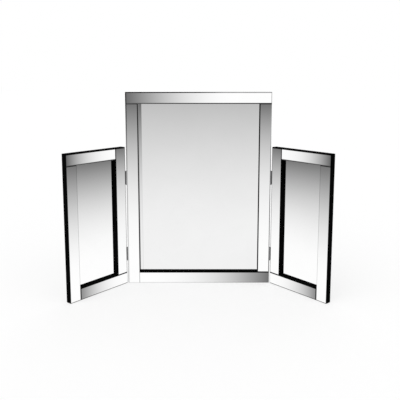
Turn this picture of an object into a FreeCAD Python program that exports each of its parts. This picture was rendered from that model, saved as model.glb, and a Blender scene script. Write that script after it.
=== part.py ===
import FreeCAD, Part
import math
import os

import Sketcher

# A free-standing trifold vanity mirror: a tall centre panel and two lower wings, hinged
# to its long edges and folded forward. Each panel is a black fibreboard frame, faced with
# four strips of mirror glass, with a mirror pane set back in the frame's rear rebate.
#
# Frame: +X to the right, -Y towards the person looking in, +Z up, millimetres.
# Origin: on the table, under the middle of the centre panel.
# The wings are drawn flat beside a hinge axis that is their own Z axis, and their
# placement folds them forward.

os.makedirs("parts", exist_ok=True)
doc = FreeCAD.newDocument("TrifoldVanityMirror")

# ---------------------------------------------------------------- driving dimensions

DIMENSIONS = {
    # panels
    "centre_width": 400,
    "centre_height": 540,
    "wing_width": 197,
    "wing_height": 390,
    "fold_angle": 50,
    # mirror strips on the face, and the tape that holds them
    "strip_width": 32,
    "strip_seam": 0.3,
    "glass_thick": 3,
    "glass_arris": 0.6,
    "tape_thick": 1,
    "tape_inset": 2,
    # fibreboard frame, with a rebate at the back for what follows it
    "rail_depth": 14,
    "rail_edge_break": 0.8,
    "rebate_width": 8,
    "rebate_depth": 6.5,
    "side_play": 1,
    "pane_thick": 3,
    "card_thick": 1,
    "board_thick": 2.5,
    # felt under the bottom rail
    "foot_thick": 1,
    "foot_width": 10,
    "foot_inset": 12,
    # turn clips and their pan-head screws on the back
    "clip_thick": 0.8,
    "clip_radius": 4.5,
    "clip_reach": 15,
    "clip_screw_inset": 16,
    "clip_shank_radius": 1.25,
    "clip_shank_long": 9,
    "clip_head_radius": 2.6,
    "clip_head_high": 1.5,
    "clip_head_break": 0.5,
    # hinges, with the pivot a little in front of the glass
    "pivot_offset": 1,
    "pivot_proud": 1.25,
    "hinge_margin": 86,
    "hinge_long": 38,
    "leaf_thick": 0.8,
    "leaf_depth": 14.5,
    "leaf_corner": 2,
    "knuckle_count": 5,
    "knuckle_radius": 1.5,
    "knuckle_play": 0.15,
    "notch_depth": 1.7,
    "pin_radius": 0.8,
    "pin_running_clearance": 0.05,
    "pin_head_radius": 1.2,
    "pin_head_high": 0.8,
    "pin_head_break": 0.3,
    # countersunk hinge screws
    "hinge_screw_depth": 10,
    "hinge_screw_spread": 11,
    "hinge_shank_radius": 1.2,
    "hinge_shank_long": 14,
    "countersink_radius": 2.4,
    "countersink_play": 0.1,
    "countersink_angle": 45,
    # shared by both kinds of screw
    "pilot_play": 0.05,
    "pilot_extra": 1,
    "cross_reach": 1.3,
    "cross_half_width": 0.3,
    "cross_depth": 0.6,
}

DERIVED = {
    "panel_thick": "=glass_thick + tape_thick + rail_depth",
    "recess_depth": "=glass_thick + tape_thick + rail_depth - rebate_depth",
    "bottom_edge": "=foot_thick",
    "centre_top": "=foot_thick + centre_height",
    "wing_top": "=foot_thick + wing_height",
    "pivot_x": "=centre_width / 2 + pivot_offset",
    "pivot_y": "=-panel_thick / 2 - pivot_proud",
    "lower_hinge": "=foot_thick + hinge_margin",
    "upper_hinge": "=foot_thick + wing_height - hinge_margin",
    "pane_inset": "=strip_width - rebate_width + side_play",
    "seam_inset": "=strip_width + strip_seam",
    "knuckle_long": "=hinge_long / knuckle_count",
    "leaf_face": "=pivot_offset - leaf_thick",
}

sheet = doc.addObject("Spreadsheet::Sheet", "Dims")
for row, (alias, content) in enumerate((DIMENSIONS | DERIVED).items(), start=1):
    sheet.set(f"A{row}", alias)
    sheet.set(f"B{row}", str(content))
    sheet.setAlias(f"B{row}", alias)
doc.recompute()

# The three panels, each in its own frame. low and high are its two side edges along X,
# and low_side and high_side are what those sides are called. A strip's ends say whether
# it stops short of a neighbour (True) or runs to the panel's edge (False), at its low or
# bottom end first. Clips stand at fractions of the length of an upright or a level side.
# pivot is where the frame's own origin goes, and turn is how far it is turned about +Z.
PANELS = {
    "centre": {
        "low": "-Dims.centre_width / 2",
        "high": "Dims.centre_width / 2",
        "top": "Dims.centre_top",
        "front": "-Dims.panel_thick / 2",
        "low_side": "left",
        "high_side": "right",
        "strips": {
            "top": (False, False),
            "low": (False, True),
            "bottom": (True, False),
            "high": (True, True),
        },
        "clips": {"upright": (0.2, 0.5, 0.8), "level": (0.3, 0.7)},
        "hinged": ("low", "high"),
        "pivot": ("0", "0"),
        "turn": "0",
    },
    "left_wing": {
        "low": "-Dims.pivot_offset - Dims.wing_width",
        "high": "-Dims.pivot_offset",
        "top": "Dims.wing_top",
        "front": "Dims.pivot_proud",
        "low_side": "outer",
        "high_side": "hinge",
        "strips": {
            "top": (False, True),
            "low": (False, True),
            "bottom": (True, False),
            "high": (True, False),
        },
        "clips": {"upright": (0.25, 0.75), "level": (0.5,)},
        "hinged": ("high",),
        "pivot": ("-Dims.pivot_x", "Dims.pivot_y"),
        "turn": "Dims.fold_angle",
    },
    "right_wing": {
        "low": "Dims.pivot_offset",
        "high": "Dims.pivot_offset + Dims.wing_width",
        "top": "Dims.wing_top",
        "front": "Dims.pivot_proud",
        "low_side": "hinge",
        "high_side": "outer",
        "strips": {
            "top": (True, False),
            "high": (False, True),
            "bottom": (False, True),
            "low": (True, False),
        },
        "clips": {"upright": (0.25, 0.75), "level": (0.5,)},
        "hinged": ("low",),
        "pivot": ("Dims.pivot_x", "Dims.pivot_y"),
        "turn": "-Dims.fold_angle",
    },
}

HINGE_HEIGHTS = {"lower": "Dims.lower_hinge", "upper": "Dims.upper_hinge"}

# ---------------------------------------------------------------- sketches and features

START, END, MIDDLE = 1, 2, 3
SMALLEST_CUT = 0.01
SAME_PLACE = 1e-6

# Which way a sketch on each origin plane looks along its own world axis.
NORMAL_SIGN = {"XY_Plane": "", "XZ_Plane": "-", "YZ_Plane": ""}

nodes = {}


def new_body(label, pivot=("0", "0"), height="0", turn="0"):
    """A sub-part of its own, placed at pivot (x, y) and height, and turned about +Z."""
    body = doc.addObject("PartDesign::Body", label)
    body.Label = label
    body.setExpression("Placement.Base.x", pivot[0])
    body.setExpression("Placement.Base.y", pivot[1])
    body.setExpression("Placement.Base.z", height)
    body.setExpression("Placement.Rotation.Angle", turn)
    nodes[label] = body
    return body


def panel_body(panel_name, piece):
    panel = PANELS[panel_name]
    return new_body(f"{panel_name}_{piece}", panel["pivot"], "0", panel["turn"])


def new_sketch(body, plane_role, offset):
    """A sketch on one of the body's origin planes, moved along the world axis by offset."""
    plane = next(item for item in body.Origin.OriginFeatures if item.Role == plane_role)
    sketch = body.newObject("Sketcher::SketchObject", f"{body.Name}_Sketch")
    sketch.AttachmentSupport = [(plane, "")]
    sketch.MapMode = "FlatFace"
    sketch.setExpression("AttachmentOffset.Base.z", f"{NORMAL_SIGN[plane_role]}({offset})")
    return sketch


def figure(sketch, text):
    return float(sketch.evalExpression(text))


def drive(sketch, kind, places, text):
    """Adds a size to the sketch and ties it to the sheet."""
    constraint = Sketcher.Constraint(kind, *places, figure(sketch, text))
    number = sketch.addConstraint(constraint)
    sketch.setExpression(f"Constraints[{number}]", text)


def fix_point(sketch, geometry, point, place):
    drive(sketch, "DistanceX", (-1, START, geometry, point), place[0])
    drive(sketch, "DistanceY", (-1, START, geometry, point), place[1])


def vector(sketch, place):
    return FreeCAD.Vector(figure(sketch, place[0]), figure(sketch, place[1]), 0)


def add_outline(sketch, corners):
    """A closed outline of straight sides through the corners."""
    first = sketch.GeometryCount
    points = [vector(sketch, corner) for corner in corners]
    for start, end in zip(points, points[1:] + points[:1]):
        sketch.addGeometry(Part.LineSegment(start, end), False)
    for index, corner in enumerate(corners):
        following = first + (index + 1) % len(corners)
        sketch.addConstraint(Sketcher.Constraint("Coincident", first + index, END, following, START))
        fix_point(sketch, first + index, START, corner)


def add_rectangle(sketch, low, high):
    add_outline(sketch, [low, (high[0], low[1]), high, (low[0], high[1])])


def add_circle(sketch, place, radius):
    circle = Part.Circle(vector(sketch, place), FreeCAD.Vector(0, 0, 1), figure(sketch, radius))
    number = sketch.addGeometry(circle, False)
    fix_point(sketch, number, MIDDLE, place)
    drive(sketch, "Radius", (number,), radius)


def add_obround(sketch, near, far, radius):
    """Two half circles about near and far, joined by two tangent lines."""
    near_point = vector(sketch, near)
    far_point = vector(sketch, far)
    size = figure(sketch, radius)
    along = far_point - near_point
    heading = math.atan2(along.y, along.x)
    quarter = math.pi / 2
    side = FreeCAD.Vector(math.cos(heading + quarter), math.sin(heading + quarter), 0) * size
    upright = FreeCAD.Vector(0, 0, 1)
    far_circle = Part.Circle(far_point, upright, size)
    near_circle = Part.Circle(near_point, upright, size)
    far_arc = sketch.addGeometry(
        Part.ArcOfCircle(far_circle, heading - quarter, heading + quarter), False)
    upper_line = sketch.addGeometry(Part.LineSegment(far_point + side, near_point + side), False)
    near_arc = sketch.addGeometry(
        Part.ArcOfCircle(near_circle, heading + quarter, heading + 3 * quarter), False)
    lower_line = sketch.addGeometry(Part.LineSegment(near_point - side, far_point - side), False)
    ring = [far_arc, upper_line, near_arc, lower_line]
    for piece, following in zip(ring, ring[1:] + ring[:1]):
        sketch.addConstraint(Sketcher.Constraint("Tangent", piece, END, following, START))
    fix_point(sketch, far_arc, MIDDLE, far)
    fix_point(sketch, near_arc, MIDDLE, near)
    drive(sketch, "Radius", (far_arc,), radius)
    sketch.addConstraint(Sketcher.Constraint("Equal", far_arc, near_arc))


def add_cross(sketch, place):
    """The outline of a cross recess about place."""
    reach = "Dims.cross_reach"
    half = "Dims.cross_half_width"
    offsets = [(reach, half), (half, half), (half, reach)]
    corners = []
    for _ in range(4):
        corners += [(f"{place[0]} + {x}", f"{place[1]} + {y}") for x, y in offsets]
        offsets = [(f"-({y})", x) for x, y in offsets]
    add_outline(sketch, corners)


def pad(body, sketch, length, reverse=False, midplane=False, taper="0"):
    """Adds the sketch's outlines as solids, along the sketch's normal unless reversed.

    A negative taper narrows them on the way.
    """
    feature = body.newObject("PartDesign::Pad", f"{body.Name}_Pad")
    feature.Profile = sketch
    feature.setExpression("Length", length)
    feature.Reversed = reverse
    feature.Midplane = midplane
    feature.setExpression("TaperAngle", taper)
    doc.recompute()
    return feature


def pocket(body, sketch, depth=None, reverse=False, midplane=False, taper="0"):
    """Cuts the sketch's outlines into the body, right through when no depth is given.

    It cuts against the sketch's normal unless reversed. A negative taper narrows the cut
    on the way in.
    """
    volume_before = body.Shape.Volume
    feature = body.newObject("PartDesign::Pocket", f"{body.Name}_Pocket")
    feature.Profile = sketch
    if depth is None:
        feature.Type = "ThroughAll"
    else:
        feature.setExpression("Length", depth)
    feature.Reversed = reverse
    feature.Midplane = midplane
    feature.setExpression("TaperAngle", taper)
    doc.recompute()
    if body.Shape.Volume > volume_before - SMALLEST_CUT:
        raise ValueError(f"{body.Label}: a pocket cuts nothing")


def edges_at(feature, **places):
    """Names of the feature's edges that lie at the given coordinates, such as y="0"."""
    wanted = {axis: figure(sheet, text) for axis, text in places.items()}
    return [
        f"Edge{number}"
        for number, edge in enumerate(feature.Shape.Edges, start=1)
        if all(
            abs(getattr(vertex.Point, axis) - place) < SAME_PLACE
            for vertex in edge.Vertexes
            for axis, place in wanted.items()
        )
    ]


def dress_edges(body, kind, feature, edges, size_name, size):
    """A chamfer or fillet on some edges of a feature."""
    dressing = body.newObject(f"PartDesign::{kind}", f"{body.Name}_{kind}")
    dressing.Base = (feature, edges)
    dressing.setExpression(size_name, size)
    doc.recompute()


def chamfer(body, feature, edges, size):
    dress_edges(body, "Chamfer", feature, edges, "Size", size)


def fillet(body, feature, edges, radius):
    dress_edges(body, "Fillet", feature, edges, "Radius", radius)


# ---------------------------------------------------------------- where things lie on a panel

SIDES = ("top", "low", "bottom", "high")
UPRIGHT_SIDES = ("low", "high")


def side_name(panel, side):
    return {"low": panel["low_side"], "high": panel["high_side"]}.get(side, side)


def inset_corner(panel, end, level, inset):
    """A point inset from the panel's low or high edge and from its bottom or top edge."""
    x = f"{panel['low']} + {inset}" if end == "low" else f"{panel['high']} - {inset}"
    z = f"Dims.bottom_edge + {inset}" if level == "bottom" else f"{panel['top']} - {inset}"
    return x, z


def mitred_band(panel, side, outer, inner):
    """Corners of one mitred side, between two insets from the panel's edges."""
    ends = {
        "top": (("low", "top"), ("high", "top")),
        "bottom": (("low", "bottom"), ("high", "bottom")),
        "low": (("low", "bottom"), ("low", "top")),
        "high": (("high", "bottom"), ("high", "top")),
    }[side]
    outside = [inset_corner(panel, *end, outer) for end in ends]
    inside = [inset_corner(panel, *end, inner) for end in reversed(ends)]
    return outside + inside


def strip_span(panel, side, inset="0"):
    """Opposite corners of one strip of the face, drawn in by inset all round."""
    starts_short, ends_short = panel["strips"][side]
    start = "Dims.seam_inset" if starts_short else "0"
    end = "Dims.seam_inset" if ends_short else "0"
    low, high, top, bottom = panel["low"], panel["high"], panel["top"], "Dims.bottom_edge"
    spans = {
        "top": ((f"{low} + {start}", f"{top} - Dims.strip_width"), (f"{high} - {end}", top)),
        "bottom": ((f"{low} + {start}", bottom), (f"{high} - {end}", f"{bottom} + Dims.strip_width")),
        "low": ((low, f"{bottom} + {start}"), (f"{low} + Dims.strip_width", f"{top} - {end}")),
        "high": ((f"{high} - Dims.strip_width", f"{bottom} + {start}"), (high, f"{top} - {end}")),
    }
    (x_low, z_low), (x_high, z_high) = spans[side]
    return (f"{x_low} + {inset}", f"{z_low} + {inset}"), (f"{x_high} - {inset}", f"{z_high} - {inset}")


def clip_places(panel, side, inset):
    """Points along one side, at the clips' fractions of its length."""
    low, high, top, bottom = panel["low"], panel["high"], panel["top"], "Dims.bottom_edge"
    if side in UPRIGHT_SIDES:
        x = f"{low} + {inset}" if side == "low" else f"{high} - {inset}"
        heights = [f"{bottom} + ({top} - {bottom}) * {part}" for part in panel["clips"]["upright"]]
        return [(x, z) for z in heights]
    z = f"{bottom} + {inset}" if side == "bottom" else f"{top} - {inset}"
    places = [f"{low} + ({high} - ({low})) * {part}" for part in panel["clips"]["level"]]
    return [(x, z) for x in places]


def hinge_screw_places(panel):
    """Points (y, z) of the hinge screws on a hinged edge."""
    y = f"{panel['front']} - Dims.pivot_proud + Dims.hinge_screw_depth"
    return [
        (y, f"{height} {sign} Dims.hinge_screw_spread")
        for height in HINGE_HEIGHTS.values()
        for sign in ("-", "+")
    ]


# ---------------------------------------------------------------- pieces of a panel


def make_slab(panel_name, piece, spans, front, thickness):
    """A flat piece, or a group of them, parallel to the panel's face."""
    body = panel_body(panel_name, piece)
    sketch = new_sketch(body, "XZ_Plane", front)
    for low, high in spans:
        add_rectangle(sketch, low, high)
    return body, pad(body, sketch, thickness, reverse=True)


def make_strips(panel_name):
    """The four mirror strips of the face, with ground front arrises."""
    panel = PANELS[panel_name]
    for side in SIDES:
        piece = f"{side_name(panel, side)}_mirror_strip"
        span = strip_span(panel, side)
        body, slab = make_slab(panel_name, piece, [span], panel["front"], "Dims.glass_thick")
        chamfer(body, slab, edges_at(slab, y=panel["front"]), "Dims.glass_arris")


def make_tape(panel_name):
    """Mounting tape, one length under each strip."""
    panel = PANELS[panel_name]
    spans = [strip_span(panel, side, "Dims.tape_inset") for side in SIDES]
    front = f"{panel['front']} + Dims.glass_thick"
    make_slab(panel_name, "mounting_tape", spans, front, "Dims.tape_thick")


def make_frame_member(panel_name, side):
    """A mitred rail or stile: rebated at the back and drilled for its screws."""
    panel = PANELS[panel_name]
    kind = "stile" if side in UPRIGHT_SIDES else "rail"
    body = panel_body(panel_name, f"frame_{side_name(panel, side)}_{kind}")
    front = f"{panel['front']} + Dims.glass_thick + Dims.tape_thick"
    back = f"{panel['front']} + Dims.panel_thick"

    blank = new_sketch(body, "XZ_Plane", front)
    add_outline(blank, mitred_band(panel, side, "0", "Dims.strip_width"))
    blank_pad = pad(body, blank, "Dims.rail_depth", reverse=True)

    outer_edge = {
        "low": {"x": panel["low"]},
        "high": {"x": panel["high"]},
        "bottom": {"z": "Dims.bottom_edge"},
        "top": {"z": panel["top"]},
    }[side]
    chamfer(body, blank_pad, edges_at(blank_pad, y=back, **outer_edge), "Dims.rail_edge_break")

    rebate = new_sketch(body, "XZ_Plane", back)
    rebate_inset = "(Dims.strip_width - Dims.rebate_width)"
    add_outline(rebate, mitred_band(panel, side, rebate_inset, "Dims.strip_width"))
    pocket(body, rebate, "Dims.rebate_depth", reverse=True)

    clip_pilots = new_sketch(body, "XZ_Plane", back)
    for place in clip_places(panel, side, "Dims.clip_screw_inset"):
        add_circle(clip_pilots, place, "Dims.clip_shank_radius + Dims.pilot_play")
    pocket(body, clip_pilots, "Dims.clip_shank_long - Dims.clip_thick + Dims.pilot_extra", reverse=True)

    if side in panel["hinged"]:
        hinge_pilots = new_sketch(body, "YZ_Plane", panel[side])
        for place in hinge_screw_places(panel):
            add_circle(hinge_pilots, place, "Dims.hinge_shank_radius + Dims.pilot_play")
        depth = "Dims.hinge_shank_long - Dims.leaf_thick + Dims.pilot_extra"
        pocket(body, hinge_pilots, depth, reverse=(side == "low"))


def make_filling(panel_name):
    """The mirror pane in the rebate, the packing card behind it and the back board."""
    panel = PANELS[panel_name]
    span = [(
        inset_corner(panel, "low", "bottom", "Dims.pane_inset"),
        inset_corner(panel, "high", "top", "Dims.pane_inset"),
    )]
    pane_front = f"{panel['front']} + Dims.recess_depth"
    card_front = f"{pane_front} + Dims.pane_thick"
    board_front = f"{card_front} + Dims.card_thick"
    make_slab(panel_name, "mirror_pane", span, pane_front, "Dims.pane_thick")
    make_slab(panel_name, "packing_card", span, card_front, "Dims.card_thick")
    make_slab(panel_name, "back_board", span, board_front, "Dims.board_thick")


def make_foot(panel_name):
    """A strip of felt under the bottom rail."""
    panel = PANELS[panel_name]
    low = (f"{panel['low']} + Dims.foot_inset", "0")
    high = (f"{panel['high']} - Dims.foot_inset", "Dims.foot_thick")
    front = f"{panel['front']} + (Dims.panel_thick - Dims.foot_width) / 2"
    make_slab(panel_name, "foot_felt", [(low, high)], front, "Dims.foot_width")


def make_clips(panel_name):
    """Turn clips that reach from the frame over the back board, as a group."""
    panel = PANELS[panel_name]
    body = panel_body(panel_name, "back_clips")
    back = f"{panel['front']} + Dims.panel_thick"
    sketch = new_sketch(body, "XZ_Plane", back)
    for side in SIDES:
        screws = clip_places(panel, side, "Dims.clip_screw_inset")
        tips = clip_places(panel, side, "(Dims.clip_screw_inset + Dims.clip_reach)")
        for screw, tip in zip(screws, tips):
            add_obround(sketch, screw, tip, "Dims.clip_radius")
            add_circle(sketch, screw, "Dims.clip_shank_radius + Dims.pilot_play")
    pad(body, sketch, "Dims.clip_thick", reverse=True)


def make_clip_screws(panel_name):
    """Pan-head screws through the clips into the frame, as a group."""
    panel = PANELS[panel_name]
    body = panel_body(panel_name, "clip_screws")
    seat = f"{panel['front']} + Dims.panel_thick + Dims.clip_thick"
    places = [
        place for side in SIDES for place in clip_places(panel, side, "Dims.clip_screw_inset")
    ]

    shanks = new_sketch(body, "XZ_Plane", seat)
    for place in places:
        add_circle(shanks, place, "Dims.clip_shank_radius")
    pad(body, shanks, "Dims.clip_shank_long")

    heads = new_sketch(body, "XZ_Plane", seat)
    for place in places:
        add_circle(heads, place, "Dims.clip_head_radius")
    head_pad = pad(body, heads, "Dims.clip_head_high", reverse=True)

    head_top = f"{seat} + Dims.clip_head_high"
    chamfer(body, head_pad, edges_at(head_pad, y=head_top), "Dims.clip_head_break")

    recesses = new_sketch(body, "XZ_Plane", head_top)
    for place in places:
        add_cross(recesses, place)
    pocket(body, recesses, "Dims.cross_depth", reverse=True)


def make_panel(panel_name):
    make_strips(panel_name)
    make_tape(panel_name)
    for side in SIDES:
        make_frame_member(panel_name, side)
    make_filling(panel_name)
    make_foot(panel_name)
    make_clips(panel_name)
    make_clip_screws(panel_name)


# ---------------------------------------------------------------- hinges


def knuckle_span(index, play):
    """Bottom and top of one knuckle, lengthened by play at both ends."""
    bottom = f"-Dims.hinge_long / 2 + Dims.knuckle_long * {index} - {play}"
    top = f"-Dims.hinge_long / 2 + Dims.knuckle_long * {index + 1} + {play}"
    return bottom, top


def make_leaf(label, side, own_first, bore_radius, pivot, height, turn):
    """A hinge leaf whose plate lies on the side (-1 or 1) of the pin, towards +Y.

    It owns every second knuckle, from own_first on. Its plate is notched beside the
    other leaf's knuckles.
    """
    body = new_body(label, pivot, height, turn)

    plate = new_sketch(body, "YZ_Plane", "Dims.leaf_face" if side > 0 else "-Dims.pivot_offset")
    add_rectangle(plate, ("0", "-Dims.hinge_long / 2"), ("Dims.leaf_depth", "Dims.hinge_long / 2"))
    plate_pad = pad(body, plate, "Dims.leaf_thick")

    lower_corner = edges_at(plate_pad, y="Dims.leaf_depth", z="-Dims.hinge_long / 2")
    upper_corner = edges_at(plate_pad, y="Dims.leaf_depth", z="Dims.hinge_long / 2")
    fillet(body, plate_pad, lower_corner + upper_corner, "Dims.leaf_corner")

    barrel = new_sketch(body, "XY_Plane", "0")
    add_circle(barrel, ("0", "0"), "Dims.knuckle_radius")
    pad(body, barrel, "Dims.hinge_long", midplane=True)

    bore = new_sketch(body, "XY_Plane", "0")
    add_circle(bore, ("0", "0"), bore_radius)
    pocket(body, bore, midplane=True)

    notches = new_sketch(body, "YZ_Plane", "0")
    for index in range(1 - own_first, int(figure(sheet, "Dims.knuckle_count")), 2):
        bottom, top = knuckle_span(index, "Dims.knuckle_play")
        add_rectangle(notches, ("-2 * Dims.knuckle_radius", bottom), ("Dims.notch_depth", top))
    pocket(body, notches, midplane=True)

    countersinks = new_sketch(body, "YZ_Plane", "Dims.leaf_face" if side > 0 else "-Dims.leaf_face")
    for sign in ("-", ""):
        place = ("Dims.hinge_screw_depth", f"{sign}Dims.hinge_screw_spread")
        add_circle(countersinks, place, "Dims.countersink_radius")
    pocket(body, countersinks, "Dims.leaf_thick", reverse=side > 0, taper="-Dims.countersink_angle")


def make_pin(label, pivot, height):
    """A hinge pin with a small head at both ends."""
    body = new_body(label, pivot, height)
    outline = new_sketch(body, "XZ_Plane", "0")
    half = "Dims.hinge_long / 2"
    tip = f"{half} + Dims.pin_head_high"
    shoulder = f"{tip} - Dims.pin_head_break"
    narrow = "Dims.pin_head_radius - Dims.pin_head_break"
    upper = [
        ("Dims.pin_radius", half),
        ("Dims.pin_head_radius", half),
        ("Dims.pin_head_radius", shoulder),
        (narrow, tip),
        ("0", tip),
    ]
    lower = [(radius, f"-({z})") for radius, z in reversed(upper)]
    add_outline(outline, lower + upper)
    revolution = body.newObject("PartDesign::Revolution", f"{body.Name}_Revolution")
    revolution.Profile = outline
    revolution.ReferenceAxis = (outline, ["V_Axis"])
    revolution.Angle = 360
    doc.recompute()


def make_hinge(wing_side, level):
    """One butt hinge: a leaf on the centre panel, a leaf on the wing, and their pin."""
    wing = PANELS[f"{wing_side}_wing"]
    wing_direction = -1 if wing_side == "left" else 1
    height = HINGE_HEIGHTS[level]
    name = f"{wing_side}_{level}_hinge"
    running_bore = "Dims.pin_radius + Dims.pin_running_clearance"
    make_leaf(f"{name}_centre_leaf", -wing_direction, 0, "Dims.pin_radius", wing["pivot"], height, "0")
    make_leaf(f"{name}_wing_leaf", wing_direction, 1, running_bore, wing["pivot"], height, wing["turn"])
    make_pin(f"{name}_pin", wing["pivot"], height)


def make_hinge_screws(panel_name):
    """Countersunk screws through the leaves into a panel's hinged edges, as a group."""
    panel = PANELS[panel_name]
    body = panel_body(panel_name, "hinge_screws")
    for side in panel["hinged"]:
        inward = side == "low"
        face = f"{panel['low']} - Dims.leaf_thick" if inward else f"{panel['high']} + Dims.leaf_thick"

        heads = new_sketch(body, "YZ_Plane", face)
        for place in hinge_screw_places(panel):
            add_circle(heads, place, "Dims.countersink_radius - Dims.countersink_play")
        pad(body, heads, "Dims.leaf_thick", reverse=not inward, taper="-Dims.countersink_angle")

        shanks = new_sketch(body, "YZ_Plane", face)
        for place in hinge_screw_places(panel):
            add_circle(shanks, place, "Dims.hinge_shank_radius")
        pad(body, shanks, "Dims.hinge_shank_long", reverse=not inward)

        recesses = new_sketch(body, "YZ_Plane", face)
        for place in hinge_screw_places(panel):
            add_cross(recesses, place)
        pocket(body, recesses, "Dims.cross_depth", reverse=inward)


# ---------------------------------------------------------------- the mirror

for name in PANELS:
    make_panel(name)
    make_hinge_screws(name)
for wing_side in ("left", "right"):
    for level in HINGE_HEIGHTS:
        make_hinge(wing_side, level)
doc.recompute()

for item in doc.Objects:
    if {"Invalid", "Error"} & set(item.State):
        raise ValueError(f"{item.Name} failed: {item.State}")
for label, body in nodes.items():
    if body.Shape.isNull() or not body.Shape.isValid():
        raise ValueError(f"{label} has no valid shape")
for label, body in nodes.items():
    body.Shape.exportStep(f"parts/{label}.step")
    print(f"{label}: {len(body.Shape.Solids)} solid(s), {body.Shape.Volume / 1000:.2f} cm3")
print(f"{len(nodes)} nodes")
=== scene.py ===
"""Looks for the trifold vanity mirror: materials for its parts, and the studio round it.

Metres, +X right, -Y towards the viewer, +Z up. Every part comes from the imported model.
"""

import math

import bpy
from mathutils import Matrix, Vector


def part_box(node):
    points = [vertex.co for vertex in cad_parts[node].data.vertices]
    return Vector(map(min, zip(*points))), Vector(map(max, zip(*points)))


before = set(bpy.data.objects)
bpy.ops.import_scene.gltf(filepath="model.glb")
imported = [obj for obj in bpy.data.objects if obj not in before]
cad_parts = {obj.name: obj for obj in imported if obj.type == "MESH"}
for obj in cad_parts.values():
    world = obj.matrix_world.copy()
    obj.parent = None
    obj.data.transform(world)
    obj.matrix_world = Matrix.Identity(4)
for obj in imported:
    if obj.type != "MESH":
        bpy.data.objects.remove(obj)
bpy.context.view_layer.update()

MM = 0.001
UP = Vector((0, 0, 1))

# At rest the wings stand this far forward of flat.
WING_TURN = math.radians(50)

# Each panel's own directions at rest: across its face, and out of its front. Across runs
# from left to right on the centre panel, and from the hinge to the outer edge on a wing.
ACROSS = {
    "centre": Vector((1, 0, 0)),
    "left_wing": Vector((-math.cos(WING_TURN), -math.sin(WING_TURN), 0)),
    "right_wing": Vector((math.cos(WING_TURN), -math.sin(WING_TURN), 0)),
}
FRONT = {
    "centre": Vector((0, -1, 0)),
    "left_wing": Vector((math.sin(WING_TURN), -math.cos(WING_TURN), 0)),
    "right_wing": Vector((-math.sin(WING_TURN), -math.cos(WING_TURN), 0)),
}


def panel_of(node):
    """The panel that a node's name starts with."""
    return next(panel for panel in ACROSS if node.startswith(panel + "_"))


def extent(nodes, direction):
    """Least and greatest place of some nodes' corners along a direction."""
    places = [direction.dot(v.co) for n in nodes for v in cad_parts[n].data.vertices]
    return min(places), max(places)


# ---------------------------------------------------------------- nodes, in short calls

# A Mix node's sockets for colours, whose names are the same as for its other kinds.
MIX_FIRST_COLOUR, MIX_SECOND_COLOUR, MIX_COLOUR_RESULT = 6, 7, 2
SCREEN_POWER = 2.2


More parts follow.
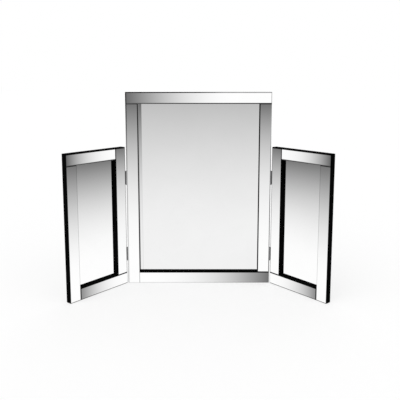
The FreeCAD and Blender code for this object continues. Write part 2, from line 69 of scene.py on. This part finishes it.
class Look:
    """One material: a Principled shader, and the nodes that feed it."""

    def __init__(self, name, **fixed):
        self.material = bpy.data.materials.new(name)
        self.material.use_nodes = True
        tree = self.material.node_tree
        self.nodes, self.links = tree.nodes, tree.links
        self.nodes.clear()
        output = self.nodes.new("ShaderNodeOutputMaterial")
        self.shader = self.nodes.new("ShaderNodeBsdfPrincipled")
        self.links.new(self.shader.outputs["BSDF"], output.inputs["Surface"])
        coordinates = self.nodes.new("ShaderNodeTexCoord")
        self.place = coordinates.outputs["Object"]
        self.facing = coordinates.outputs["Normal"]
        for socket, number in fixed.items():
            self.shader.inputs[socket.replace("_", " ")].default_value = number

    def put(self, socket, source):
        """Link a socket to another one, or set it to a number, a grey or a colour."""
        if isinstance(source, bpy.types.NodeSocket):
            self.links.new(source, socket)
        elif socket.type == "RGBA" and not hasattr(source, "__len__"):
            socket.default_value = (source, source, source, 1)
        elif socket.type == "RGBA":
            socket.default_value = (*source, 1)
        else:
            socket.default_value = source

    def feed(self, socket, source):
        """The same, for one of the shader's own sockets."""
        self.put(self.shader.inputs[socket], source)

    def math(self, operation, *sources):
        """The result of one sum. Each source is a socket or a number."""
        node = self.nodes.new("ShaderNodeMath")
        node.operation = operation
        for socket, source in zip(node.inputs, sources):
            self.put(socket, source)
        return node.outputs["Value"]

    def along(self, direction, vector=None):
        """How far the place, or another vector, lies along a direction."""
        node = self.nodes.new("ShaderNodeVectorMath")
        node.operation = "DOT_PRODUCT"
        self.put(node.inputs[0], vector or self.place)
        node.inputs[1].default_value = direction
        return node.outputs["Value"]

    def stretched(self, scale):
        """The place, scaled by a number along each axis."""
        node = self.nodes.new("ShaderNodeVectorMath")
        node.operation = "MULTIPLY"
        self.put(node.inputs[0], self.place)
        node.inputs[1].default_value = scale
        return node.outputs["Vector"]

    def remap(self, source, low, high, to_low=0.0, to_high=1.0, smooth=False):
        """to_low where the source is at low, to_high where it is at high, and no further."""
        node = self.nodes.new("ShaderNodeMapRange")
        node.interpolation_type = "SMOOTHSTEP" if smooth else "LINEAR"
        numbers = (source, low, high, to_low, to_high)
        for socket, number in zip(node.inputs, numbers):
            self.put(socket, number)
        return node.outputs["Result"]

    def noise(self, size, detail=2.0, roughness=0.5, distortion=0.0, vector=None):
        """Noise whose blotches are about so many metres across."""
        node = self.nodes.new("ShaderNodeTexNoise")
        self.put(node.inputs["Vector"], vector or self.place)
        node.inputs["Scale"].default_value = 1 / size
        node.inputs["Detail"].default_value = detail
        node.inputs["Roughness"].default_value = roughness
        node.inputs["Distortion"].default_value = distortion
        return node.outputs["Fac"]

    def cells(self, size, output="Distance"):
        """Cells about so many metres across: the distance to each one's middle, or another
        output."""
        node = self.nodes.new("ShaderNodeTexVoronoi")
        self.put(node.inputs["Vector"], self.place)
        node.inputs["Scale"].default_value = 1 / size
        return node.outputs[output]

    def mix(self, share, first, second):
        """The first colour where the share is 0, and the second where it is 1."""
        node = self.nodes.new("ShaderNodeMix")
        node.data_type = "RGBA"
        self.put(node.inputs["Factor"], share)
        self.put(node.inputs[MIX_FIRST_COLOUR], first)
        self.put(node.inputs[MIX_SECOND_COLOUR], second)
        return node.outputs[MIX_COLOUR_RESULT]

    def linear(self, grey):
        """A grey as it is seen, from 0 to 1, as the light that it stands for."""
        return self.math("POWER", grey, SCREEN_POWER)

    def bump(self, height, depth):
        """Relief from a height, where a height of 1 stands so many metres proud."""
        node = self.nodes.new("ShaderNodeBump")
        node.inputs["Strength"].default_value = 1.0
        node.inputs["Distance"].default_value = depth
        self.put(node.inputs["Height"], height)
        self.feed("Normal", node.outputs["Normal"])


def faces(look, panel, side):
    """1 on the faces at a panel's front, for a side of 1, or at its back, for -1."""
    return look.remap(look.along(FRONT[panel], look.facing), side * 0.4, side * 0.6)


# ---------------------------------------------------------------- mirror glass

# Each piece of glass carries a painted reflection in its grey: darkest at one end, and
# shading off along it. For each kind: the end that it is darkest at, its grey there, how many
# metres the shading reaches, the power that it falls off with, and its grey beyond, which is
# white unless end is given.
FADES = {
    "centre_top": {"start": "left", "dark": 0.415, "reach": 0.30, "power": 2.05},
    "centre_left": {"start": "top", "dark": 0.36, "reach": 0.49, "power": 2.5},
    "centre_right": {"start": "top", "dark": 0.32, "reach": 0.69, "power": 4.6},
    "centre_bottom": {"start": "right", "dark": 0.45, "reach": 0.38, "power": 2.8},
    "centre_pane": {"start": "top", "dark": 0.715, "reach": 0.43, "power": 1.9, "end": 0.95},
    "wing_top": {"start": "outer", "dark": 0.40, "reach": 0.24, "power": 4.3},
    "wing_outer": {"start": "top", "dark": 0.33, "reach": 0.34, "power": 2.15},
    "wing_hinge": {"start": "top", "dark": 0.455, "reach": 0.51, "power": 4.9},
    "wing_bottom": {"start": "outer", "dark": 0.25, "reach": 0.195, "power": 2.6},
    "wing_pane": {"start": "top", "dark": 0.30, "reach": 0.35, "power": 2.8},
}

# A dark line runs along each edge of a strip: partly the ground arris, and partly painted
# shade and painted reflection of the black edges and recess walls beside it.
# For each edge: the line's width in mm, its grey where the glass is at its darkest, and its
# grey where the glass is white. A fourth number is a power, which keeps the first grey for
# longer as the glass gets lighter. No line is lighter than the glass that it is on.
LINES = {
    "centre_top": {
        "left": (3.0, 0.02, 0.05),
        "right": (1.0, 0.12, 0.3),
        "bottom": (2.5, 0.42, 0.2),
        "top": (2.2, 0.02, 0.66, 9),
    },
    "centre_left": {
        "left": (3.1, 0.0, 0.86),
        "right": (0.3, 0.29, 0.8),
        "bottom": (0.4, 0.25, 0.7),
        "top": (0.6, 0.11, 0.3),
    },
    "centre_right": {
        "left": (0.9, 0.05, 0.15),
        "right": (1.8, 0.75, 0.3, 2.5),
        "bottom": (0.8, 0.06, 0.2),
        "top": (0.6, 0.1, 0.3),
    },
    "centre_bottom": {
        "left": (0.3, 0.36, 0.8),
        "right": (0.6, 0.13, 0.3),
        "bottom": (0.8, 0.13, 0.8),
        "top": (2.2, 0.0, 0.0),
    },
    "wing_top": {
        "hinge": (3.4, 0.0, 0.0),
        "outer": (0.6, 0.08, 0.2),
        "bottom": (2.4, 0.34, 0.34),
        "top": (3.2, 0.0, 0.0),
    },
    "wing_hinge": {
        "hinge": (1.6, 0.11, 0.25),
        "outer": (0.3, 0.45, 1.0),
        "bottom": (0.8, 0.09, 0.2),
        "top": (3.2, 0.0, 0.0),
    },
    "wing_outer": {
        "hinge": (1.1, 0.2, 0.6),
        "outer": (0.6, 0.0, 0.0),
        "bottom": (1.6, 0.1, 0.3),
        "top": (0.8, 0.07, 0.2),
    },
    "wing_bottom": {
        "hinge": (0.9, 0.07, 0.3),
        "outer": (2.0, 0.01, 0.05),
        "bottom": (1.6, 0.06, 0.25),
        "top": (2.0, 0.0, 0.0),
    },
}
LINE_SOFTNESS = 0.4
GLASS_SIDE = (0.004, 0.005, 0.005)

# Beside its left strip the centre pane has a painted reflection of that strip and its black
# recess wall: a dark line, then a narrow band with that strip's own shading, a little dimmer,
# and a faint line where the band ends. For each: how far it reaches from the strip in mm, and
# a share. The first line's share is its grey, the band's is of the strip's grey, and the last
# line's is of the darker of strip and pane.
BAND_START = (2.5, 0.5)
BAND = (9.2, 0.94)
BAND_END = (10.6, 0.93)


def painted_reflection_grey(look, panel, kind):
    """The painted reflection's grey on one kind of glass at each place, before its lines are
    drawn.
    """
    fade = FADES[kind]
    across = ACROSS[panel]
    leaving = {"left": across, "right": -across, "outer": -across, "top": -UP}[fade["start"]]
    glass = [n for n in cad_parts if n.startswith(panel) and "_mirror_strip" in n]
    beginning = extent(glass, leaving)[0]
    gone = look.remap(look.along(leaving), beginning, beginning + fade["reach"])
    left = look.math("POWER", look.math("SUBTRACT", 1.0, gone), fade["power"])
    end = fade.get("end", 1.0)
    return look.math("SUBTRACT", end, look.math("MULTIPLY", left, end - fade["dark"]))


def with_painted_reflection_band(look, grey):
    """The centre pane's grey, with the painted reflection of its left strip and recess wall
    beside it.
    """
    inner_edge = extent(["centre_left_mirror_strip"], ACROSS["centre"])[1]
    gap = look.math("SUBTRACT", look.along(ACROSS["centre"]), inner_edge)
    beside = painted_reflection_grey(look, "centre", "centre_left")
    darker = look.math("MINIMUM", grey, beside)
    for (reach, share), tone in ((BAND_END, darker), (BAND, beside), (BAND_START, 1.0)):
        start, end = reach * MM, (reach + LINE_SOFTNESS) * MM
        inside = look.math("MULTIPLY", tone, share)
        grey = look.remap(gap, start, end, inside, grey, smooth=True)
    return grey


def edge_gaps(look, node, panel):
    """How far the place is from each edge of a strip of glass, by the edge's name."""
    (near, far), (low, high) = extent([node], ACROSS[panel]), extent([node], UP)
    sideways, upwards = look.along(ACROSS[panel]), look.along(UP)
    first, last = ("left", "right") if panel == "centre" else ("hinge", "outer")
    return {
        first: look.math("SUBTRACT", sideways, near),
        last: look.math("SUBTRACT", far, sideways),
        "bottom": look.math("SUBTRACT", upwards, low),
        "top": look.math("SUBTRACT", high, upwards),
    }


def silvered(node):
    """Silvered glass, with a painted reflection shaded along its length and a dark line at each
    edge.
    """
    panel = panel_of(node)
    side = node.removeprefix(panel + "_").split("_")[0].replace("mirror", "pane")
    kind = ("centre_" if panel == "centre" else "wing_") + side
    look = Look("silvered_" + node, Specular_IOR_Level=0.0)
    grey = painted_reflection_grey(look, panel, kind)
    if kind == "centre_pane":
        grey = with_painted_reflection_band(look, grey)

    smear = look.noise(0.09, detail=4, roughness=0.6, distortion=0.8)
    grey = look.math("MULTIPLY", grey, look.remap(smear, 0.35, 0.75, 1.0, 0.99))
    whiteness = look.remap(grey, FADES[kind]["dark"], 1.0)
    gaps = edge_gaps(look, node, panel) if kind in LINES else {}
    # The edge lines: partly the ground arris, partly painted shade and painted reflection.
    for edge, gap in gaps.items():
        width, darkest, lightest, *power = LINES[kind][edge]
        turned = look.math("POWER", whiteness, power[0]) if power else whiteness
        line = look.math("MINIMUM", grey, look.remap(turned, 0.0, 1.0, darkest, lightest))
        start, end = width * MM, (width + LINE_SOFTNESS) * MM
        grey = look.remap(gap, start, end, line, grey, smooth=True)

    flat = faces(look, panel, 1)
    look.feed("Metallic", flat)
    look.feed("Base Color", look.mix(flat, GLASS_SIDE, look.linear(grey)))

    streaks = look.noise(0.012, detail=5, roughness=0.7, vector=look.stretched((1, 1, 0.15)))
    smoothness = look.remap(streaks, 0.3, 0.8, 0.012, 0.035)
    look.feed("Roughness", look.remap(flat, 0.0, 1.0, 0.5, smoothness))
    return look.material


# ---------------------------------------------------------------- the other materials


def edge_distance(look, panel, nodes):
    """Distance from the nearest long edge of the box round a panel's frame."""
    gaps = []
    for direction in (ACROSS[panel], UP, FRONT[panel]):
        low, high = extent(nodes, direction)
        place = look.along(direction)
        near = look.math("SUBTRACT", place, low)
        far = look.math("SUBTRACT", high, place)
        gaps.append(look.math("MINIMUM", near, far))
    a, b, c = gaps
    lesser, greater = look.math("MINIMUM", a, b), look.math("MAXIMUM", a, b)
    return look.math("MAXIMUM", lesser, look.math("MINIMUM", greater, c))


def painted_board(panel):
    """Black paint on fibreboard: dead black in front and at the sides. The back is a lighter
    grey, with lighter flecks of the roller's stipple, as painted sheen, and is rubbed along its
    edges."""
    rails = [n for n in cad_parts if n.startswith(panel + "_frame_")]
    look = Look("black_paint_" + panel, Specular_IOR_Level=0.0)
    behind = faces(look, panel, -1)
    stipple = look.noise(0.003, detail=5, roughness=0.7, distortion=0.5)
    cloud = look.noise(0.045, detail=4, roughness=0.6)
    front_black = look.mix(look.remap(cloud, 0.3, 0.7), 0.0025, 0.005)
    # Painted sheen: the back faces get a lighter grey, and lighter stipple flecks, than the
    # front.
    back_sheen_and_wear = look.mix(look.remap(cloud, 0.35, 0.65), 0.008, 0.016)
    back_sheen_and_wear = look.mix(look.remap(stipple, 0.5, 0.75), back_sheen_and_wear, 0.030)
    patches = look.noise(0.012, detail=5, roughness=0.7)
    reach = look.remap(patches, 0.48, 0.72, 0.0, 1.6 * MM)
    beyond = look.math("SUBTRACT", edge_distance(look, panel, rails), reach)
    rubbed = look.math("SUBTRACT", 1.0, look.remap(beyond, 0, 0.5 * MM))
    rubbed = look.math("MULTIPLY", rubbed, look.remap(patches, 0.46, 0.56))
    back_sheen_and_wear = look.mix(rubbed, back_sheen_and_wear, (0.12, 0.085, 0.055))
    look.feed("Base Color", look.mix(behind, front_black, back_sheen_and_wear))
    look.feed("Roughness", look.remap(stipple, 0.3, 0.7, 0.42, 0.6))
    look.bump(stipple, 0.08 * MM)
    return look.material


def hardboard():
    """Dark stained hardboard: pressed fibres, and blotches where the stain soaked in."""
    look = Look("hardboard", Specular_IOR_Level=0.25)
    fibres = look.noise(0.007, detail=7, roughness=0.75, distortion=1.6)
    flecks = look.noise(0.0025, detail=4, roughness=0.7)
    blotches = look.noise(0.06, detail=5, roughness=0.6, distortion=0.7)
    strands = look.remap(fibres, 0.35, 0.65)
    base = look.mix(strands, (0.010, 0.0085, 0.0075), (0.042, 0.033, 0.026))
    base = look.mix(look.remap(blotches, 0.42, 0.68, 0.0, 0.7), base, (0.010, 0.0085, 0.008))
    look.feed("Base Color", look.mix(look.remap(flecks, 0.62, 0.75), base, (0.10, 0.078, 0.058)))
    look.feed("Roughness", look.remap(fibres, 0.3, 0.7, 0.55, 0.75))
    look.bump(look.math("ADD", fibres, look.math("MULTIPLY", flecks, 0.5)), 0.12 * MM)
    return look.material


def zinc(name, dark, light, grain):
    """Zinc plate: crystals of slightly different greys, a haze, and a fine grain."""
    look = Look(name, Metallic=1.0)
    crystal = look.cells(grain, "Color")
    # The mean of the crystal's red, green and blue is its own grey.
    tone = look.along((0.34, 0.33, 0.33), crystal)
    haze = look.noise(0.006, detail=3)
    tone = look.math("ADD", look.math("MULTIPLY", tone, 0.6), look.math("MULTIPLY", haze, 0.4))
    look.feed("Base Color", look.mix(look.remap(tone, 0.25, 0.75), dark, light))
    look.feed("Roughness", look.remap(tone, 0.2, 0.8, 0.26, 0.44))
    look.bump(look.noise(0.0008, detail=4, roughness=0.7), 0.02 * MM)
    return look.material


def brushed_steel():
    """Nickelled steel, brushed along the hinge, with duller patches."""
    look = Look("brushed_steel", Metallic=1.0)
    brushing = look.noise(0.0006, detail=4, roughness=0.6, vector=look.stretched((1, 1, 0.05)))
    haze = look.noise(0.008, detail=3)
    colour = look.mix(look.remap(brushing, 0.3, 0.7), (0.20, 0.20, 0.205), (0.34, 0.34, 0.345))
    dullness = look.remap(haze, 0.45, 0.8, 0, 0.5)
    look.feed("Base Color", look.mix(dullness, colour, (0.17, 0.165, 0.16)))
    look.feed("Roughness", look.remap(brushing, 0.25, 0.75, 0.24, 0.42))
    look.bump(brushing, 0.015 * MM)
    return look.material


def felt():
    """Black wool felt: matted fibres with a dull sheen."""
    look = Look("foot_felt", Roughness=1.0, Specular_IOR_Level=0.1, Sheen_Weight=0.2)
    fibres = look.noise(0.0012, detail=6, roughness=0.8, distortion=2.5)
    look.feed("Base Color", look.mix(look.remap(fibres, 0.3, 0.7), 0.004, (0.022, 0.022, 0.024)))
    look.bump(fibres, 0.25 * MM)
    return look.material


def foam_tape():
    """Black foam tape: fine open cells."""
    look = Look("mounting_tape", Specular_IOR_Level=0.0)
    pores = look.cells(0.0009)
    look.feed("Base Color", look.mix(look.remap(pores, 0.15, 0.6), 0.002, 0.008))
    look.feed("Roughness", look.remap(look.noise(0.002), 0.3, 0.7, 0.75, 0.95))
    look.bump(pores, 0.1 * MM)
    return look.material


def card():
    """Brown packing card: long fibres and darker flecks."""
    look = Look("packing_card", Specular_IOR_Level=0.2)
    fibres = look.noise(0.003, detail=6, roughness=0.7, vector=look.stretched((1, 1, 0.3)))
    flecks = look.noise(0.0014, detail=3)
    base = look.mix(look.remap(fibres, 0.3, 0.7), (0.27, 0.17, 0.09), (0.40, 0.27, 0.15))
    look.feed("Base Color", look.mix(look.remap(flecks, 0.66, 0.75), base, (0.14, 0.08, 0.04)))
    look.feed("Roughness", look.remap(fibres, 0.3, 0.7, 0.8, 0.95))
    look.bump(fibres, 0.08 * MM)
    return look.material


PAINT = {panel: painted_board(panel) for panel in ACROSS}
BACK = hardboard()
STEEL = brushed_steel()
CLIP_ZINC = zinc("zinc_clip", (0.34, 0.345, 0.36), (0.56, 0.565, 0.58), 0.0035)
SCREW_ZINC = zinc("zinc_screw", (0.30, 0.30, 0.31), (0.62, 0.62, 0.63), 0.0012)
OTHERS = {
    "_mounting_tape": foam_tape(),
    "_packing_card": card(),
    "_back_board": BACK,
    "_foot_felt": felt(),
    "_back_clips": CLIP_ZINC,
    "_clip_screws": SCREW_ZINC,
    "_hinge_screws": STEEL,
    "_leaf": STEEL,
    "_pin": STEEL,
}


def look_of(node):
    """The material of a node, by its name."""
    if node.endswith(("_mirror_strip", "_mirror_pane")):
        return silvered(node)
    if "_frame_" in node:
        return PAINT[panel_of(node)]
    return next(m for ending, m in OTHERS.items() if node.endswith(ending))


for name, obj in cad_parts.items():
    obj.data.materials.clear()
    obj.data.materials.append(look_of(name))

# ---------------------------------------------------------------- the studio

WHITE = 1.0
SUN_BREADTH = math.radians(50)


def rays(nodes, links, *kinds):
    """1 for rays of any of these kinds, and 0 for the others."""
    path = nodes.new("ShaderNodeLightPath")
    share = path.outputs[kinds[0]]
    for kind in kinds[1:]:
        larger = nodes.new("ShaderNodeMath")
        larger.operation = "MAXIMUM"
        links.new(share, larger.inputs[0])
        links.new(path.outputs[kind], larger.inputs[1])
        share = larger.outputs["Value"]
    return share


def choose(nodes, links, share, off, on):
    """off where share is 0, and on where it is 1. Either may be a socket."""
    node = nodes.new("ShaderNodeMapRange")
    links.new(share, node.inputs["Value"])
    for socket, source in ((node.inputs["To Min"], off), (node.inputs["To Max"], on)):
        if isinstance(source, bpy.types.NodeSocket):
            links.new(source, socket)
        else:
            socket.default_value = source
    return node.outputs["Result"]


def stage_sheet(name, corners):
    """A flat piece of the studio, with a matt black material that can be made to glow."""
    mesh = bpy.data.meshes.new(name)
    mesh.from_pydata(corners, [], [range(len(corners))])
    sheet = bpy.data.objects.new(name, mesh)
    bpy.context.scene.collection.objects.link(sheet)
    material = bpy.data.materials.new(name)
    material.use_nodes = True
    surface = material.node_tree.nodes["Principled BSDF"]
    surface.inputs["Base Color"].default_value = (0, 0, 0, 1)
    surface.inputs["Roughness"].default_value = 1.0
    surface.inputs["Specular IOR Level"].default_value = 0.0
    surface.inputs["Emission Color"].default_value = (1, 1, 1, 1)
    mesh.materials.append(material)
    return sheet, material.node_tree, surface


def white_room(ambient):
    """A plain world that gives a soft even light, and is white to see."""
    world = bpy.data.worlds.new("studio")
    bpy.context.scene.world = world
    world.use_nodes = True
    nodes, links = world.node_tree.nodes, world.node_tree.links
    background = nodes["Background"]
    background.inputs["Color"].default_value = (1, 1, 1, 1)
    visible = rays(nodes, links, "Is Camera Ray", "Is Glossy Ray", "Is Transmission Ray")
    links.new(choose(nodes, links, visible, ambient, WHITE), background.inputs["Strength"])


def pale_floor(half, grey, glow):
    """A matt floor that keeps the shadow, and glows up to white. Mirrors show it white."""
    corners = [(-half, -half, 0), (half, -half, 0), (half, half, 0), (-half, half, 0)]
    _, tree, surface = stage_sheet("studio_floor", corners)
    nodes, links = tree.nodes, tree.links
    mirrored = rays(nodes, links, "Is Glossy Ray", "Is Transmission Ray")
    direct = rays(nodes, links, "Is Camera Ray")
    plain = choose(nodes, links, direct, 0.0, glow)
    links.new(choose(nodes, links, mirrored, plain, WHITE), surface.inputs["Emission Strength"])
    links.new(choose(nodes, links, mirrored, grey, 0.0), surface.inputs["Base Color"])


def white_card(name, start, end, clear_from_behind=False):
    """A glowing card that stands on a line and that only mirrors show: it hides what a
    mirror would show there. One that is clear from behind hides nothing from the mirrors
    behind it."""
    (x0, y0), (x1, y1) = start, end
    corners = [(x0, y0, 0), (x1, y1, 0), (x1, y1, CARD_HEIGHT), (x0, y0, CARD_HEIGHT)]
    sheet, tree, surface = stage_sheet(name, corners)
    surface.inputs["Emission Strength"].default_value = WHITE
    if clear_from_behind:
        behind = tree.nodes.new("ShaderNodeNewGeometry").outputs["Backfacing"]
        shown = choose(tree.nodes, tree.links, behind, 1.0, 0.0)
        tree.links.new(shown, surface.inputs["Alpha"])
    sheet.visible_camera = sheet.visible_diffuse = sheet.visible_transmission = False
    sheet.visible_shadow = sheet.visible_volume_scatter = False


def soft_sun(name, azimuth, elevation, strength):
    """A broad far lamp that lights every place alike, and that mirrors don't show."""
    data = bpy.data.lights.new(name, "SUN")
    data.energy = strength
    data.angle = SUN_BREADTH
    lamp = bpy.data.objects.new(name, data)
    lamp.rotation_euler = (math.radians(90 - elevation), 0, math.radians(azimuth))
    lamp.visible_glossy = False
    bpy.context.scene.collection.objects.link(lamp)


white_room(ambient=0.62)
pale_floor(half=30.0, grey=0.32, glow=0.69)

# A card stands on the middle line, out to beyond the wings: it keeps each wing from
# showing the other one. A card across the centre opening keeps them from showing the
# black sides of its recess, and is clear from behind, so that the centre pane shows the
# wings. Both are higher than the wings, and just clear of the glass.
CARD_REACH, CARD_HEIGHT, CARD_CLEARANCE = 0.21, 0.42, 0.2 * MM
card_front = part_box("centre_bottom_mirror_strip")[0].y - CARD_CLEARANCE
opening_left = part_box("centre_left_mirror_strip")[1].x
opening_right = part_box("centre_right_mirror_strip")[0].x
left_end, right_end = (opening_left, card_front), (opening_right, card_front)
white_card("middle_card", (0, -CARD_REACH), (0, card_front))
white_card("opening_card", left_end, right_end, clear_from_behind=True)

soft_sun("key", -40, 50, 0.75)
soft_sun("fill", 50, 35, 0.35)
soft_sun("rear", 165, 50, 0.45)

# ---------------------------------------------------------------- the camera

# The place, dip and length of lens put the panels' corners nearest to where the photograph
# has them, for a lens shifted by so much of the picture's width.
CAMERA_PLACE = (0.0040, -1.5204, 0.5732)
CAMERA_DIP = math.radians(8.23)
LENS_LENGTH, SENSOR_WIDTH = 49.73, 36.0
LENS_SHIFT = -0.10
NEAREST, FARTHEST = 0.01, 200

lens = bpy.data.cameras.new("camera")
lens.sensor_fit = "HORIZONTAL"
lens.sensor_width = SENSOR_WIDTH
lens.lens = LENS_LENGTH
lens.shift_y = LENS_SHIFT
lens.clip_start, lens.clip_end = NEAREST, FARTHEST
camera = bpy.data.objects.new("camera", lens)
camera.location = CAMERA_PLACE
camera.rotation_euler = (math.radians(90) - CAMERA_DIP, 0, 0)
bpy.context.scene.collection.objects.link(camera)
bpy.context.scene.camera = camera
bpy.context.scene.view_settings.view_transform = "Standard"
